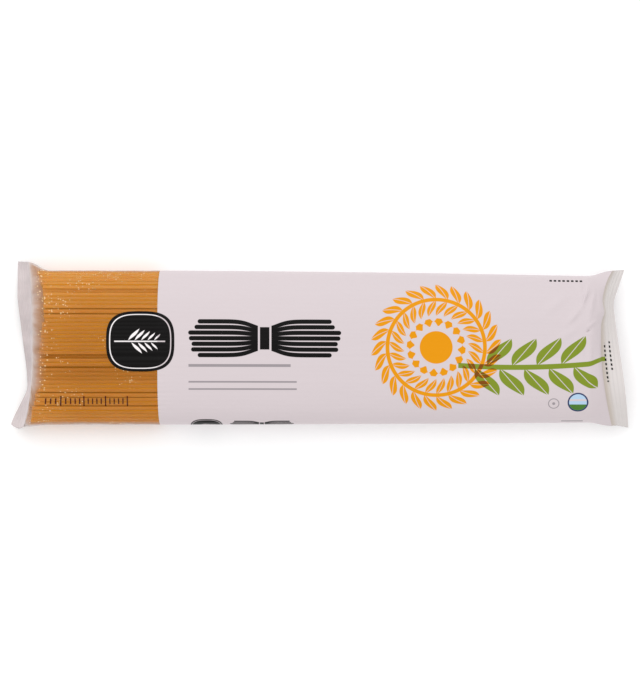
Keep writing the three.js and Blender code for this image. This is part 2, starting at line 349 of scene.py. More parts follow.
# The film over the filled body, ring by ring: the outline, lifted by its drape and swell, bowed where the
# print begins, and spread towards the corners of the root at the left
def bodyFilm(x):
    clear = smooth((packet["printFromX"] + drape["fade"] / 2 - x) / drape["fade"])[:, None]
    nearSeal = smooth((drape["sealX"] - x) / drape["fade"])[:, None]
    show = mix(drape["printed"], 1.0, clear) * mix(1.0, drape["nearSeal"], nearSeal)
    halves = []
    for shares, isTop in ((topColumns, True), (underColumns, False)):
        y, z, out, _ = outlineAt(x, shares, isTop)
        lift = show * drapeAt(shares, *laid[isTop])[None, :]
        lift = lift + swellAt(x, shares) if isTop else lift * (z > drape["lowZ"])
        bow = np.exp(-(((x - packet["printFromX"]) / packet["bowReach"]) ** 2))[:, None]
        xx = x[:, None] + packet["bow"] * (bow * np.abs(2 * shares - 1) ** 4)
        corner = rootAt(leftEnd, shares)[:, 0] + leftEnd["standOff"] + leftEnd["shoulderX"]
        nearEnd = (packet["cornerToX"] - x) / (packet["cornerToX"] + leftEnd["shoulderX"])
        xx = xx + corner * smooth(nearEnd)[:, None]
        flare, root = leftEnd["flare"], leftEnd["root"]
        lowSide, highSide = y.min(axis=1, keepdims=True), y.max(axis=1, keepdims=True)
        outwards = np.where(shares < 0.5, root["lowY"] - lowSide, root["highY"] - highSide)
        beside = np.clip(1 - np.minimum(shares, 1 - shares) / flare["reach"], 0, 1) ** 2
        spread = smooth((flare["fromX"] - xx) / flare["length"]) * outwards * beside
        halves.append(np.stack([xx, y + out[..., 0] * lift + spread, z + out[..., 1] * lift], axis=-1))
    return np.concatenate(halves, axis=1)


# The seal's two faces, from the root out to the edge: a straight sheet that sags as a sine, with ribs of
# crimping across its depth and the lower corner drawn in
def sealFilm(end):
    outward = np.linspace(0, 1, grid["sealRings"])[:, None, None]
    root, edge = rootAt(end, topColumns), edgeAt(end, topColumns)
    middle = mix(root[None], edge[None], outward)
    middle[..., 1] -= end["edge"]["curl"] * np.sin(pi * outward[..., 0]) * nearCorner(topColumns)[None, :]
    direction = unit(edge - root)
    across = np.gradient(middle, axis=1)
    normal = unit(np.cross(np.broadcast_to(direction, across.shape), across)) * end["side"]
    depth = np.linalg.norm(edge - root, axis=-1)[None, :]
    sag = -end["sag"] * np.sin(pi * outward[..., 0] ** 0.8)
    atDepth = outward[..., 0] * depth
    crimp = smooth((atDepth - seal["ribsFrom"]) / seal["ribsFade"])
    ribs = seal["ribHeight"] * crimp * np.sin(2 * pi * atDepth / seal["ribPitch"])
    shifted = middle + normal * (sag + ribs)[..., None]
    half = 0.5 * seal["thickness"]
    upper = shifted + normal * half
    lower = (shifted - normal * half)[:, :: grid["fewerBelow"]][:, -2:0:-1]
    return np.concatenate([upper, lower], axis=1)


# Between the body's last ring and the root the film closes over the strands' ends. Seen from the side it
# is a quarter of a superellipse, cut into even steps.
def shoulderFilm(end, bodyRing, rootRing):
    phi = np.linspace(0, pi / 2, 600)
    outward, height = np.sin(phi) ** (2 / end["roundness"]), np.cos(phi) ** (2 / end["roundness"])
    reach, fall = 4.0, 12.0  # about the shoulder's own, so that the steps come out even
    run = np.concatenate([[0], np.cumsum(np.hypot(np.diff(outward) * reach, np.diff(height) * fall))])
    even = np.linspace(0, run[-1], grid["shoulderRings"] + 1)[1:-1]
    outward = np.interp(even, run, outward)[:, None]
    closing = 1 - np.interp(even, run, height)[:, None]
    return np.stack([
        mix(bodyRing[None, :, 0], rootRing[None, :, 0], outward),
        mix(bodyRing[None, :, 1], rootRing[None, :, 1], smooth(outward)),
        mix(bodyRing[None, :, 2], rootRing[None, :, 2], closing),
    ], axis=-1)


bodyRings = bodyFilm(bodyX)
leftSeal, rightSeal = sealFilm(leftEnd), sealFilm(rightEnd)
leftShoulder = shoulderFilm(leftEnd, bodyRings[0], leftSeal[0])
rightShoulder = shoulderFilm(rightEnd, bodyRings[-1], rightSeal[0])
film = np.concatenate([leftSeal[::-1], leftShoulder[::-1], bodyRings, rightShoulder, rightSeal])
ringCount, columnCount = film.shape[:2]
over = film[:, : len(topColumns)]
over[..., 2] += creaseAt(over[..., 0], over[..., 1])
print("film rings and columns", ringCount, columnCount)

# The film's own flat layout in millimetres: along the packet, and round it from the middle of the top.
# It is cut open along the back seam.
firstBody = len(leftSeal) + len(leftShoulder)
lastBody = firstBody + len(bodyX) - 1
middleColumn = len(topColumns) // 2
stepAlong = np.linalg.norm(np.diff(film[:, middleColumn], axis=0), axis=-1)
layoutU = np.concatenate([[0], np.cumsum(stepAlong)])
layoutU = layoutU - layoutU[firstBody] - leftEnd["shoulderX"]
layoutU[firstBody : lastBody + 1] = bodyX
layoutU[lastBody + 1 :] += bodyX[-1] - (layoutU[lastBody + 1] - stepAlong[lastBody])
girth = topLength + underLength
layoutV = np.concatenate([(topColumns - 0.5) * topLength, topLength / 2 + (1 - underColumns) * underLength])


# From the drawing's own origin to the frame's
def inMetres(points):
    return (np.asarray(points, float) + packet["toOrigin"]) / 1000


# Makes a mesh object out of arrays, with smooth faces except where told
def addPiece(name, points, faces, materials, materialOf=None, flat=None):
    mesh = bpy.data.meshes.new(name)
    mesh.from_pydata(inMetres(points).tolist(), [], faces)
    for material in materials:
        mesh.materials.append(material)
    smoothFaces = np.ones(len(faces), bool) if flat is None else ~np.asarray(flat, bool)
    mesh.polygons.foreach_set("use_smooth", smoothFaces)
    if materialOf is not None:
        mesh.polygons.foreach_set("material_index", np.asarray(materialOf, np.int32))
    mesh.update()
    piece = bpy.data.objects.new(name, mesh)
    bpy.context.scene.collection.objects.link(piece)
    print("made", name, len(mesh.vertices), "points", sum(len(face) - 2 for face in faces), "triangles")
    return piece


# Inputs are named or numbered, and each is a number, a colour, a Field or the output of another node.
def fill(tree, node, inputs):
    for name, value in inputs.items():
        if isinstance(value, Field):
            value = value.socket
        if isinstance(value, bpy.types.NodeSocket):
            tree.links.new(value, node.inputs[name])
        else:
            node.inputs[name].default_value = value


def addNode(tree, kind, settings=None, inputs=None):
    made = tree.nodes.new(kind)
    for name, value in (settings or {}).items():
        setattr(made, name, value)
    fill(tree, made, inputs or {})
    return made


# A value worked out by nodes, with arithmetic that adds the nodes for it
class Field:
    def __init__(self, tree, node, output=0):
        self.tree = tree
        self.socket = node.outputs[output]

    def maths(self, operation, *others, clamp=False):
        values = dict(enumerate((self, *others)))
        made = addNode(self.tree, "ShaderNodeMath", {"operation": operation, "use_clamp": clamp}, values)
        return Field(self.tree, made)

    def __add__(self, other):
        return self.maths("ADD", other)

    def __sub__(self, other):
        return self.maths("SUBTRACT", other)

    def __mul__(self, other):
        return self.maths("MULTIPLY", other)

    def __truediv__(self, other):
        return self.maths("DIVIDE", other)

    def size(self):
        return self.maths("ABSOLUTE")

    def above(self, other):
        return self.maths("MAXIMUM", other)

    def below(self, other):
        return self.maths("MINIMUM", other)

    # 1 where the value is under 0 and 0 where it is over it, with an edge this wide
    def inside(self, blur=0.12):
        return self.maths("MULTIPLY_ADD", -1 / blur, 0.5, clamp=True)

    # 0 at one value and 1 at the other
    def rises(self, start, end):
        made = addNode(self.tree, "ShaderNodeMapRange", {"interpolation_type": "SMOOTHSTEP"},
                       {"Value": self, "From Min": start, "From Max": end})
        return Field(self.tree, made)


# An sRGB hex colour as the linear one that nodes take
def linear(hexColour):
    channels = [int(hexColour[i : i + 2], 16) / 255 for i in (1, 3, 5)]
    return (*[c / 12.92 if c <= 0.04045 else ((c + 0.055) / 1.055) ** 2.4 for c in channels], 1.0)


def far(u, v):
    return (u * u + v * v).maths("SQRT")


# How far a place is from the middle of its step, in a row of steps of one pitch
def offMiddle(place, pitch):
    steps = place / pitch
    return (steps - steps.maths("FLOOR") - 0.5).size() * pitch


# The distance to the edge of an upright box, below 0 inside it, as in every design here
def boxEdge(u, v, atU, atV, halfU, halfV):
    return ((u - atU).size() - halfU).above((v - atV).size() - halfV)


# A stem with leaves or grains on both sides, as the distance to its edge. t runs along the stem and w
# across it. Each grain is a lens that leans forward, and the sides take turns.
def sprigEdge(t, w, shape):
    side = w.size()
    turns = w.rises(-0.02, 0.02) * shape.get("shift", 0.5)
    cell = (t - side * shape["lean"]) / shape["pitch"] + turns
    number = cell.maths("FLOOR")
    base = (number - turns + 0.5) * shape["pitch"]
    whole = ((base - shape["start"]) * -1).above(base - shape["stop"])
    taper = (base - shape["start"]) * (-shape.get("taper", 0.0) / (shape["stop"] - shape["start"])) + 1.0
    fromMiddle = (cell - number - 0.5).size() * shape["pitch"]
    reach = (side - shape["gap"]) / (taper * shape["length"])
    bulge = (reach.below(1.0).above(0.0) * pi).maths("SINE") * taper * shape["halfWidth"]
    grains = (fromMiddle - bulge + 0.02).above(whole).above((reach - 1.0) * 2.0)
    if "rib" in shape:
        grains = grains.above((fromMiddle - shape["rib"]) * -1)
    stemStart, stemStop = shape.get("stemStart", shape["start"]), shape.get("stemStop", shape["stop"])
    stem = (side - shape["stem"]).above((t - stemStart) * -1).above(t - stemStop)
    return grains.below(stem)


# The print, in millimetres on the film. Places are along and round the packet, with a size for each copy.
# A design is a list of layers, each a mask and an ink, from the lowest up.
inks = {
    "black": "#080606",
    "white": "#F4EEEF",
    "grey": "#9C9498",
    "orange": "#E49505",
    "green": "#7F902A",
    "brown": "#80480A",
    "maroon": "#4A1F1A",
    "navy": "#2F3B63",
    "sky": "#B4CFE8",
    "leaf": "#4C7A33",
}
badge = {"places": ((-82.9, 2.9, 1.0), (-52.6, -41.4, 0.48)), "halfU": 15.8, "halfV": 14.0, "power": 3.0,
         "ringIn": 1.5, "ringHalf": 0.22}
ear = {"pitch": 3.0, "gap": 0.45, "length": 5.6, "halfWidth": 1.05, "start": -6.5, "stop": 7.0,
       "stem": 0.3, "stemStart": -12.0, "stemStop": 11.5}
bundle = {"places": ((-25.4, 4.4, 1.0), (-26.8, -39.6, 0.42)), "half": 34.0, "rounding": 0.45,
          "uneven": 0.9, "rows": 3.0, "pitch": 2.6, "radius": 1.02, "pinch": 0.45, "pinchWidth": 60.0,
          "gap": (3.1, 20.0), "band": (2.2, 5.2)}


# Nearly the distance to the edge of a superellipse
def badgeEdge(u, v, atU, atV, size):
    x = ((u - atU) / (badge["halfU"] * size)).size().maths("POWER", badge["power"])
    y = ((v - atV) / (badge["halfV"] * size)).size().maths("POWER", badge["power"])
    return ((x + y).maths("POWER", 1 / badge["power"]) - 1.0) * (badge["halfV"] * size)


# A dark rounded badge with a thin ring and an ear of grain inside
def badgeInks(u, v, atU, atV, size):
    edge = badgeEdge(u, v, atU, atV, size)
    ring = (edge + badge["ringIn"] * size).size() - badge["ringHalf"] * size
    scaled = {name: value * size for name, value in ear.items()}
    mark = ring.below(sprigEdge(u - atU, v - atV, {"lean": 0.95, "taper": 0.5, **scaled}))
    return [(edge.inside(), "black"), (mark.inside().below(edge.inside()), "white")]


# A bundle of long pasta held by a band: strokes side by side that draw together in the middle
def bundleInks(u, v, atU, atV, size):
    x, y = (u - atU) / size, (v - atV) / size
    narrow = (x * x * (-1 / bundle["pinchWidth"])).maths("EXPONENT") * -bundle["pinch"] + 1.0
    y = y / narrow
    row = (y / bundle["pitch"]).maths("ROUND").below(bundle["rows"]).above(-bundle["rows"])
    half = row * row * -bundle["rounding"] + (row * 2.1).maths("SINE") * bundle["uneven"] + bundle["half"]
    stroke = far((x.size() - half).above(0.0), (y - row * bundle["pitch"]) * narrow) - bundle["radius"]
    outside = boxEdge(x, y * narrow, 0.0, 0.0, *bundle["gap"]) * -1
    band = boxEdge(x, y * narrow, 0.0, 0.0, *bundle["band"])
    return [(stroke.above(outside).below(band).inside(), "black")]


# Plain bars: from and to along the packet, place round it, and thickness
rules = ((-60.6, -13.4, -8.2, 1.3), (-60.6, -10.6, -15.8, 0.8), (-60.6, -10.6, -19.2, 0.8),
         (112.0, 122.0, -37.0, 1.2))


def ruleInks(u, v):
    edge = None
    for fromU, toU, atV, thick in rules:
        rule = boxEdge(u, v, (fromU + toU) / 2, atV, (toU - fromU) / 2, thick / 2)
        edge = rule if edge is None else edge.below(rule)
    return [(edge.inside(0.1), "grey")]


wreath = {"u": 53.8, "v": 0.5, "radius": 22.5, "grains": 26}
sun = {"radius": 7.6, "gapTo": 9.0, "rays": 16.0, "rayHalf": 1.1, "rayMiddle": 12.2, "rayTo": 13.6}
twig = {"u": 77.0, "v": -8.5, "turn": -0.03, "bendLength": 30.0, "bend": 1.2}


# A wreath of grains round a disc with rays, and a twig with leaves that overlaps it
def artworkInks(u, v):
    x, y = u - wreath["u"], v - wreath["v"]
    turned, away = y.maths("ARCTAN2", x), far(x, y)
    grains = {"pitch": 2 * pi * wreath["radius"] / wreath["grains"], "lean": 0.7, "gap": 0.3, "length": 7.6,
              "halfWidth": 2.15, "start": -500.0, "stop": 500.0, "stem": 0.9, "shift": 0.0, "rib": 0.13}
    ring = sprigEdge(turned * wreath["radius"], away - wreath["radius"], grains)
    rays = (turned * sun["rays"]).maths("SINE") * sun["rayHalf"] - sun["rayHalf"]
    rays = rays + (away - sun["rayMiddle"]).size()
    rays = rays.above(away - sun["rayTo"]).above((away - sun["gapTo"]) * -1)
    orange = ring.below((away - sun["radius"]).below(rays)).inside()
    s, t = u - twig["u"], v - twig["v"] - (u - twig["u"]) * twig["turn"]
    bent = t - (s / twig["bendLength"]) * (s / twig["bendLength"]) * twig["bend"]
    leaves = {"pitch": 11.4, "lean": 0.85, "gap": 0.6, "length": 13.0, "halfWidth": 4.4,
              "start": -6.0, "stop": 44.0, "stem": 1.2, "stemStart": -13.0, "stemStop": 60.0, "rib": 0.22}
    green = sprigEdge(s, bent, leaves).inside()
    return [(orange, "orange"), (green, "green"), (orange.below(green), "brown")]


# A printed scale across the window: upright ticks with every fifth one longer
scale = {"u": -107.6, "v": -25.0, "half": 19.0, "pitch": 2.0, "thick": 0.3, "short": 1.4, "longer": 1.1,
         "longEach": 5.0}


def scaleInks(u, v):
    across = offMiddle(u, scale["pitch"]) - scale["thick"]
    number = (u / scale["pitch"]).maths("FLOOR") + 0.5
    isLong = ((number / scale["longEach"]).maths("FRACT") - 1 / scale["longEach"]).inside(0.05)
    tall = (v - scale["v"]).size() - (isLong * scale["longer"] + scale["short"])
    return [(across.above(tall).above((u - scale["u"]).size() - scale["half"]).inside(), "maroon")]


# A small banded disc, a plain ring and rows of dashes near the right end. A box is its middle and halves.
marks = {
    "disc": {"u": 119.4, "v": -25.4, "radius": 4.8, "rim": 0.7, "low": -1.0, "band": 1.2, "bandHalf": 0.5},
    "ring": {"u": 108.2, "v": -26.0, "radius": 2.4, "half": 0.22, "dot": 0.7},
    "dashes": {"box": (113.6, 34.0, 8.0, 0.6), "pitch": 2.0, "half": 0.6},
    "code": {"boxes": ((137.2, -7.5, 0.45, 10.5), (140.2, -3.6, 0.5, 7.6)), "pitch": 2.381, "half": 0.667},
}


def markInks(u, v):
    sign, plain, dashes, code = marks["disc"], marks["ring"], marks["dashes"], marks["code"]
    y = v - sign["v"]
    disc = far(u - sign["u"], y) - sign["radius"]
    inner = disc + sign["rim"]
    low = (y - sign["low"]).above(inner)
    band = ((y - sign["band"]).size() - sign["bandHalf"]).above(inner)
    away = far(u - plain["u"], v - plain["v"])
    ring = ((away - plain["radius"]).size() - plain["half"]).below(away - plain["dot"])
    topLine = boxEdge(u, v, *dashes["box"]).above(offMiddle(u, dashes["pitch"]) - dashes["half"])
    rows = boxEdge(u, v, *code["boxes"][0]).below(boxEdge(u, v, *code["boxes"][1]))
    rows = rows.above(offMiddle(v, code["pitch"]) - code["half"])
    patches = [(disc, "navy"), (inner, "sky"), (low, "leaf"), (band, "white")]
    thin = [(ring, "grey"), (topLine.below(rows), "black")]
    return [(edge.inside(), ink) for edge, ink in patches] + [(edge.inside(0.1), ink) for edge, ink in thin]


# A ruled panel on the underside and a row of uneven bars on the other side of the seam. They lie as far
# round from the middles of the sides as told, and the bars are where a sum of waves is below nought.
back = {
    "panel": {"u": 8.0, "past": 21.0, "half": (30.0, 8.0), "line": 0.2, "margin": 0.8, "row": 2.0,
              "thick": 0.16},
    "bars": {"u": 64.0, "past": 20.0, "half": (14.0, 7.0), "waves": ((1.7, 0.2), (4.1, 0.16), (7.3, 0.1))},
}


def backInks(u, v):
    panel, bars = back["panel"], back["bars"]
    middle = -(topLength / 2) - panel["past"]
    edge = boxEdge(u, v, panel["u"], middle, *panel["half"])
    rows = offMiddle(v - middle, panel["row"]) - panel["thick"]
    table = rows.above(edge + panel["margin"]).below(edge.size() - panel["line"])
    waves = [(u * turns).maths("SINE") * share for turns, share in bars["waves"]]
    box = boxEdge(u, v, bars["u"], topLength / 2 + bars["past"], *bars["half"])
    code = (waves[0] + waves[1] + waves[2]).above(box)
    return [(table.below(code).inside(0.1), "black")]


def printed(u, v):
    layers = artworkInks(u, v)
    for place in badge["places"]:
        layers += badgeInks(u, v, *place)
    for place in bundle["places"]:
        layers += bundleInks(u, v, *place)
    return layers + ruleInks(u, v) + markInks(u, v) + backInks(u, v)


# A material with one surface to be filled in
def newMaterial(name):
    material = bpy.data.materials.new(name)
    material.use_nodes = True
    tree = material.node_tree
    tree.nodes.clear()
    surface = addNode(tree, "ShaderNodeBsdfPrincipled")
    addNode(tree, "ShaderNodeOutputMaterial", None, {"Surface": surface.outputs[0]})
    return material, tree, surface


# Where a point is on the film in millimetres, along it and round it
def filmPlace(tree):
    uv = addNode(tree, "ShaderNodeUVMap", {"uv_map": "film"})
    split = addNode(tree, "ShaderNodeSeparateXYZ", None, {0: uv.outputs[0]})
    return Field(tree, split, 0), Field(tree, split, 1)


# Cloudy unevenness from 0 to 1, with about so many clouds to the millimetre along the film and round it
def clouds(tree, u, v, along, around, detail):
    place = addNode(tree, "ShaderNodeCombineXYZ", None, {0: u * along, 1: v * around})
    settings = {"Vector": place.outputs[0], "Scale": 1.0, "Detail": detail}
    return Field(tree, addNode(tree, "ShaderNodeTexNoise", None, settings))


# Lays each layer's colour over what is there: an ink by its name, or a hex value. What is left white
# shows the film's own white.
def paint(tree, base, layers, white=inks["white"]):
    colours = {**inks, "white": white}
    colour = linear(base)
    for mask, ink in layers:
        mixed = addNode(tree, "ShaderNodeMix", {"data_type": "RGBA"},
                        {0: mask, 6: colour, 7: linear(colours.get(ink, ink))})
        colour = mixed.outputs[2]
    return colour


# Polypropylene film printed from behind with white and coloured inks: opaque, satin, with soft wide
# highlights, and faintly ridged and creased by the strands under it. Past the right root a painted shade
# line runs along the fold, and the seal beyond shows its own unprinted film, partly painted light.
printedFilm = {
    "base": "#D4C9CC",
    # The right seal's own unprinted film, partly painted light: lighter than the print so that its steep,
    # drooping faces come out as bright as the top
    "sealed": "#DAD4D2",
    # Painted shade: a darker, warmer line along the fold at the right root, where shade falls
    "crest": "#C4B9AF",
    "roughness": 0.34,
    "roughnessSpread": 0.12,
    "specular": 0.1,
    "crinkle": 0.00025,
    "broad": {"pattern": (0.02, 0.11, 3.0), "height": 3.0},
    "fine": {"pattern": (0.35, 0.35, 4.0), "height": 0.6},
}


def makePrintedFilm():
    material, tree, surface = newMaterial("printed polypropylene film")
    u, v = filmPlace(tree)
    # Past the right root: a painted shade line along the fold, fading over 5 mm into the seal's colour,
    # which is partly painted light
    pastRoot = u - layoutU[-len(rightSeal)]
    layers = [(pastRoot.rises(-0.3, 0.3), printedFilm["crest"]),
              (pastRoot.rises(0.0, 5.0), printedFilm["sealed"])] + printed(u, v)
    broad = clouds(tree, u, v, *printedFilm["broad"]["pattern"])
    fine = clouds(tree, u, v, *printedFilm["fine"]["pattern"])
    height = broad * printedFilm["broad"]["height"] + fine * printedFilm["fine"]["height"]
    bump = addNode(tree, "ShaderNodeBump", None,
                   {"Strength": 0.55, "Distance": printedFilm["crinkle"], "Height": height})
    spread = printedFilm["roughnessSpread"]
    fill(tree, surface, {
        "Base Color": paint(tree, printedFilm["base"], layers, printedFilm["base"]),
        "Normal": bump.outputs[0],
        "Roughness": fine * spread + (printedFilm["roughness"] - spread / 2),
        "Specular IOR Level": printedFilm["specular"],
    })
    return material


# Clear polypropylene film, heat sealed at the end: nearly invisible where it clings to the strands, milky
# in the crimped seal and in a ragged band where it stands off them at the sides, and clearer again on the
# steep wall before the seal. Inside lie flecks of pasta dust, drawn coarse enough to show. In the grooves
# between touching strands it carries painted light, a strand-coloured haze that lifts the shade there.
clearFilm = {
    "base": "#CDC0BC",
    "sealed": "#D6CBCB",
    "dustHazeAndGrooveLight": "#D08418",
    "roughness": 0.2,
    "badgeRougher": 0.2,
    "specular": 0.1,
    "cling": 0.3,
    "paintedGrooveLight": {"cover": 0.5, "fromU": -128.0, "fade": 8.0},
    "cloud": {"pattern": (0.05, 0.09, 3.0), "amount": 0.7, "least": 0.65},
    "ragged": {"pattern": (0.12, 0.25, 3.0), "amount": 1.6, "least": 0.2, "atEnd": 5.0},
    "side": {"cover": 0.58, "low": (34.6, 41.0), "high": (37.0, 41.0), "under": (47.0, 41.5)},
    "haze": {"cover": 0.62, "from": (127.0, 135.5), "corner": (10.0, 34.0), "cornerLater": 3.5},
    "wall": {"clearer": 0.5, "from": (134.5, 137.5), "beforeRoot": (0.5, 3.0)},
    "dust": {"cover": 0.75, "colour": "#FFE2B0", "pitch": 1.05, "size": 0.4, "sizes": (0.35, 1.0),
             "pattern": (0.045, 0.045, 1.0), "shift": 40.0, "patches": (0.44, 0.6),
             "heap": (118.0, 124.0), "heapStop": (131.5, 128.0)},
}


def makeClearFilm():
    material, tree, surface = newMaterial("clear polypropylene film")
    u, v = filmPlace(tree)
    left, down = u * -1, v * -1
    side, haze, wall, dust = (clearFilm[name] for name in ("side", "haze", "wall", "dust"))
    beforeRoot = u - layoutU[len(leftSeal) - 1]
    cloud = clouds(tree, u, v, *clearFilm["cloud"]["pattern"])
    ragged = clouds(tree, u, v, *clearFilm["ragged"]["pattern"])
    beside = down.rises(*side["low"]).above(v.rises(*side["high"])) * v.size().rises(*side["under"])
    beside = beside * (ragged * clearFilm["ragged"]["amount"] + clearFilm["ragged"]["least"])
    later = down.rises(*haze["corner"]) * haze["cornerLater"]
    end = (left + ragged * clearFilm["ragged"]["atEnd"] - later).rises(*haze["from"])
    steep = left.rises(*wall["from"]) * beforeRoot.rises(*wall["beforeRoot"])
    hazy = end * (steep * -wall["clearer"] + 1.0)
    paintedGrooveLight = Field(tree, addNode(tree, "ShaderNodeAttribute", {"attribute_name": "paintedGrooveLight"}), "Fac")
    milky = (beside * side["cover"]).above(hazy * haze["cover"]) + clearFilm["cling"]
    # Painted light: strand-coloured haze in the grooves between touching strands, lifting their shade
    milky = milky + paintedGrooveLight * clearFilm["paintedGrooveLight"]["cover"]
    milky = milky * (cloud * clearFilm["cloud"]["amount"] + clearFilm["cloud"]["least"])
    place = addNode(tree, "ShaderNodeCombineXYZ", None, {0: u * dust["pitch"], 1: v * dust["pitch"]})
    dots = addNode(tree, "ShaderNodeTexVoronoi", {"feature": "F1"},
                   {"Vector": place.outputs[0], "Scale": 1.0, "Randomness": 1.0})
    here = clouds(tree, u + dust["shift"], v, *dust["pattern"]).rises(*dust["patches"])
    here = here.above(left.rises(*dust["heap"])) * left.rises(*dust["heapStop"])
    pick = addNode(tree, "ShaderNodeSeparateColor", None, {0: dots.outputs["Color"]})
    size = here * Field(tree, pick).rises(*dust["sizes"]) * dust["size"]
    fleck = (Field(tree, dots, "Distance") - size).inside(0.06) * dust["cover"] * here
    badgeLayers, ticks = badgeInks(u, v, *badge["places"][0]), scaleInks(u, v)
    underInk = [(beside.above(end), clearFilm["base"]),
                ((beforeRoot * -1).rises(-0.3, 0.3), clearFilm["sealed"]), (fleck, dust["colour"])]
    badgeHere = badgeLayers[0][0]
    fill(tree, surface, {
        "Base Color": paint(tree, clearFilm["dustHazeAndGrooveLight"], underInk + badgeLayers + ticks),
        "Alpha": milky.above(fleck).above(badgeHere).above(ticks[0][0]),
        "Roughness": badgeHere * clearFilm["badgeRougher"] + clearFilm["roughness"],
        "Specular IOR Level": clearFilm["specular"],
    })
    return material


# Dried durum wheat pasta, extruded: smooth and slightly waxy, amber with light passing a little way in,
# and fine lighter streaks about a millimetre apart along each strand. Patterns are in steps to the metre.
pasta = {
    "light": "#EBA75C",
    "dark": "#9A5814",
    "cut": "#E3B878",
    "roughness": 0.42,
    "cutRoughness": 0.7,
    "specular": 0.2,
    "glow": 1.0,
    "glowRadius": (1.0, 0.6, 0.3),
    "glowScale": 0.003,
    "streaks": (18.0, 900.0, 900.0),
    "specks": 2600.0,
    "detail": 2.0,
    "relief": 0.00004,
    "nearEnd": {"lighter": 0.24, "x": (-0.107, -0.131)},
}


def makePasta(name, isCut):
    material, tree, surface = newMaterial(name)
    place = addNode(tree, "ShaderNodeTexCoord").outputs["Object"]
    toneWithPaintedLight = Field(tree, addNode(tree, "ShaderNodeAttribute", {"attribute_name": "toneWithPaintedLight"}), "Fac")
    drawn = addNode(tree, "ShaderNodeMapping", None, {"Vector": place, "Scale": pasta["streaks"]})
    streak, specks = (
        Field(tree, addNode(tree, "ShaderNodeTexNoise", None,
                            {"Vector": vector, "Scale": steps, "Detail": pasta["detail"]}))
        for vector, steps in ((drawn.outputs[0], 1.0), (place, pasta["specks"]))
    )
    # Each strand's tone holds painted light and shade: lighter on the side towards the light at +Y, darker
    # in the middle and where strands are sunk
    if isCut:
        shade = (specks * 0.6 + toneWithPaintedLight * 0.3).rises(0.1, 0.8)
        colour = paint(tree, pasta["light"], [(shade, pasta["cut"])])
    else:
        x = Field(tree, addNode(tree, "ShaderNodeSeparateXYZ", None, {0: place}))
        nearEnd = x.rises(*pasta["nearEnd"]["x"]) * pasta["nearEnd"]["lighter"]
        shade = toneWithPaintedLight + (streak - 0.5) * 0.2 + (specks - 0.5) * 0.1 + nearEnd
        colour = paint(tree, pasta["dark"], [(shade, pasta["light"])])
    bump = addNode(tree, "ShaderNodeBump", None,
                   {"Strength": 0.4, "Distance": pasta["relief"], "Height": specks + streak * 0.7})
    fill(tree, surface, {
        "Base Color": colour,
        "Normal": bump.outputs[0],
        "Roughness": pasta["cutRoughness"] if isCut else pasta["roughness"],
        "Specular IOR Level": pasta["specular"],
        "Subsurface Weight": pasta["glow"],
        "Subsurface Radius": pasta["glowRadius"],
        "Subsurface Scale": pasta["glowScale"],
    })
    return material


filmMaterials = [makeClearFilm(), makePrintedFilm()]
print("film materials made")


# The film: rings joined to a closed skin, with the two cut edges closed
def gridFaces(rows, columns, around):
    r, c = np.meshgrid(np.arange(rows - 1), np.arange(columns if around else columns - 1), indexing="ij")
    here, nextC = r * columns, (c + 1) % columns
    return np.stack([here + c, here + columns + c, here + columns + nextC, here + nextC], -1).reshape(-1, 4)


# The cut edge joins each step of the underside to the finer steps over it.
def edgeFaces(ring, isLeft):
    start, step = ring * columnCount, grid["fewerBelow"]

    def lower(j):
        return start if j == 0 else start + (len(topColumns) - 1 if j == coarseCount else columnCount - j)

    faces = []
    for j in range(coarseCount):
        upper = [start + j * step + k for k in range(step + 1)]
        face = upper + [i for i in (lower(j + 1), lower(j)) if i not in upper]
        faces.append(face[::-1] if isLeft else face)
    return faces


skin = gridFaces(ringCount, columnCount, True)
skinFaces = skin.tolist() + edgeFaces(0, True) + edgeFaces(ringCount - 1, False)
clearRows = firstBody + grid["clearRings"] - 1
skinSlots = np.repeat(np.arange(ringCount - 1) >= clearRows, columnCount).astype(int).tolist()
skinSlots += [0] * coarseCount + [1] * coarseCount
isEdge = [False] * len(skin) + [True] * (2 * coarseCount)
wrapper = addPiece("film_wrapper", film.reshape(-1, 3), skinFaces, filmMaterials, skinSlots, isEdge)


# The flat layout is cut open along the far side of the back seam. The seam's strip follows the columns of
# the underside that lie between its two sides at one ring near the middle.
seam = {"lowY": -7.0, "highY": 4.0, "offset": 0.03, "thickness": 0.26, "atRing": 40}
dense = np.linspace(0, 1, 501)
cutShare = np.interp(seam["highY"], outlineAt(clearX, dense, False)[0][0], dense)
cutV = topLength / 2 + (1 - cutShare) * underLength


# Gives each face corner its place in the flat layout, with no face stretched over the cut
def layFlat(piece, rings, places):
    mesh = piece.data
    corners = np.empty(len(mesh.loops), np.int32)
    mesh.loops.foreach_get("vertex_index", corners)
    faceOf = np.repeat(np.arange(len(mesh.polygons)), [p.loop_total for p in mesh.polygons])
    v = places[corners]
    highest = np.full(len(mesh.polygons), -1e9)
    np.maximum.at(highest, faceOf, v)
    lowest = np.full(len(mesh.polygons), 1e9)
    np.minimum.at(lowest, faceOf, v)
    wraps = highest - lowest > girth / 2
    v = np.where(wraps[faceOf] & (v < 0), v + girth, v)
    middle = np.where(wraps, highest, (highest + lowest) / 2)
    v = np.where(middle[faceOf] > cutV, v - girth, v)
    flat = mesh.uv_layers.new(name="film")
    flat.data.foreach_set("uv", np.stack([layoutU[rings[corners]], v], axis=-1).ravel())


ringOf = np.repeat(np.arange(ringCount), columnCount)
placeOf = np.tile(layoutV, ringCount)
layFlat(wrapper, ringOf, placeOf)
